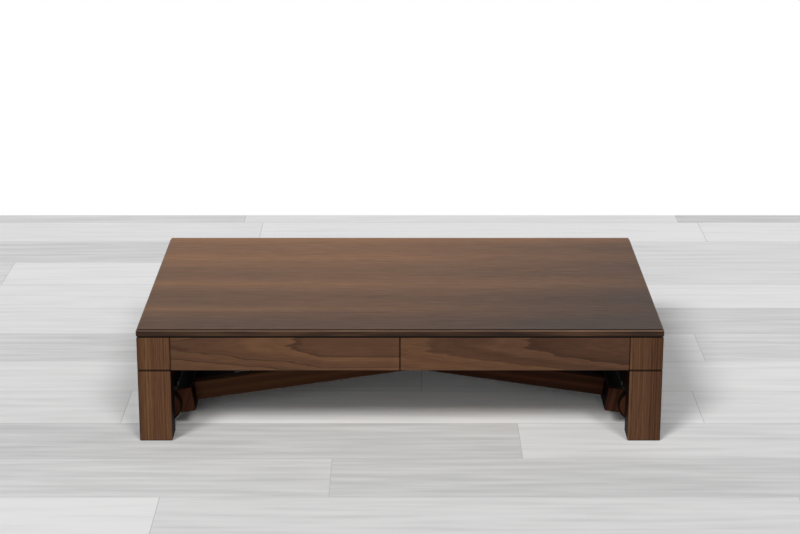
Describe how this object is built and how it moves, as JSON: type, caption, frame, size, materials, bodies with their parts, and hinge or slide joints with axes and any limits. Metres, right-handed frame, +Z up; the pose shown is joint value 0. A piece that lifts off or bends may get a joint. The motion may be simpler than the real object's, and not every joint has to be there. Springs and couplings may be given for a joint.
{
  "type": "height-extending coffee table",
  "caption": "Low rectangular walnut table with flush drawers, whose top box lifts level off split legs on a pair of crossed frames.",
  "frame": {"origin": "on the floor, below the middle of the top", "axes": "+X along the table's length to the right seen from the front, -Y towards the drawers, +Z up"},
  "size_m": [1.5, 0.9, 0.34],
  "materials": {
    "walnut": "oiled walnut, satin",
    "walnut_inside": "walnut, matt, inside pieces",
    "drawer_wood": "pale drawer wood, matt",
    "pivot_steel": "turned steel",
    "roller_nylon": "black nylon",
    "glide_felt": "dark pressed felt"
  },
  "bodies": {
    "left_leg_frame": {"felt_glide_front_left": "glide_felt", "felt_glide_rear_left": "glide_felt", "leg_tie_rail_left": "walnut_inside", "lower_axle_left": "pivot_steel", "lower_leg_front_left": "walnut", "lower_leg_rear_left": "walnut", "pivot_hub_front_left": "walnut_inside", "pivot_hub_rear_left": "walnut_inside"},
    "lift_frame_outer": {"centre_pivot_front": "pivot_steel", "centre_pivot_rear": "pivot_steel", "outer_frame_arm_front": "walnut_inside", "outer_frame_arm_rear": "walnut_inside", "outer_frame_brace_board": "walnut_inside", "outer_frame_rocker_bar_high": "walnut_inside", "outer_frame_rocker_bar_low": "walnut_inside"},
    "lift_frame_inner": {"inner_frame_arm_front": "walnut_inside", "inner_frame_arm_rear": "walnut_inside", "inner_frame_brace_board": "walnut_inside", "inner_frame_rocker_bar_high": "walnut_inside", "inner_frame_rocker_bar_low": "walnut_inside", "sliding_axle": "pivot_steel", "track_roller_front": "roller_nylon", "track_roller_rear": "roller_nylon"},
    "right_leg_frame": {"felt_glide_front_right": "glide_felt", "felt_glide_rear_right": "glide_felt", "leg_tie_rail_right": "walnut_inside", "lower_axle_right": "pivot_steel", "lower_leg_front_right": "walnut", "lower_leg_rear_right": "walnut", "pivot_hub_front_right": "walnut_inside", "pivot_hub_rear_right": "walnut_inside"},
    "table_box": {"centre_post": "walnut_inside", "front_rail": "walnut_inside", "hanger_side_inner_left": "walnut_inside", "hanger_side_inner_right": "walnut_inside", "hanger_side_outer_left": "walnut_inside", "hanger_side_outer_right": "walnut_inside", "pivot_block_front": "walnut_inside", "pivot_block_rear": "walnut_inside", "rear_apron": "walnut", "side_apron_left": "walnut", "side_apron_right": "walnut", "slide_track_front": "walnut_inside", "slide_track_rear": "walnut_inside", "table_top": "walnut", "upper_axle_right": "pivot_steel", "upper_leg_front_left": "walnut", "upper_leg_front_right": "walnut", "upper_leg_rear_left": "walnut", "upper_leg_rear_right": "walnut"},
    "drawer_left": {"drawer_left_back": "drawer_wood", "drawer_left_bottom": "drawer_wood", "drawer_left_front": "walnut", "drawer_left_side_inner": "drawer_wood", "drawer_left_side_outer": "drawer_wood"},
    "drawer_right": {"drawer_right_back": "drawer_wood", "drawer_right_bottom": "drawer_wood", "drawer_right_front": "walnut", "drawer_right_side_inner": "drawer_wood", "drawer_right_side_outer": "drawer_wood"}
  },
  "joints": [
    {"name": "lift", "type": "hinge", "parent": "left_leg_frame", "child": "lift_frame_outer", "pos_m": [-0.681, 0, 0.0766], "axis": [0, -1, 0], "range_deg": [0, 16.5]},
    {"name": "cross", "type": "hinge", "parent": "lift_frame_outer", "child": "lift_frame_inner", "pos_m": [0, 0, 0.17755], "axis": [0, -1, 0], "range_deg": [-33.2, 0]},
    {"name": "right_foot", "type": "hinge", "parent": "lift_frame_inner", "child": "right_leg_frame", "pos_m": [0.681, 0, 0.0766], "axis": [0, -1, 0], "range_deg": [0, 16.6]},
    {"name": "top_level", "type": "hinge", "parent": "lift_frame_outer", "child": "table_box", "pos_m": [0.681, 0, 0.2785], "axis": [0, -1, 0], "range_deg": [-16.6, 0]},
    {"name": "drawer_left_slide", "type": "slide", "parent": "table_box", "child": "drawer_left", "axis": [0, -1, 0], "range_m": [0, 0.085]},
    {"name": "drawer_right_slide", "type": "slide", "parent": "table_box", "child": "drawer_right", "axis": [0, -1, 0], "range_m": [0, 0.085]}
  ],
  "couplings": [
    {"joint": "cross", "follows": "lift", "ratio": -2},
    {"joint": "right_foot", "follows": "lift", "ratio": 1},
    {"joint": "top_level", "follows": "lift", "ratio": -1}
  ]
}
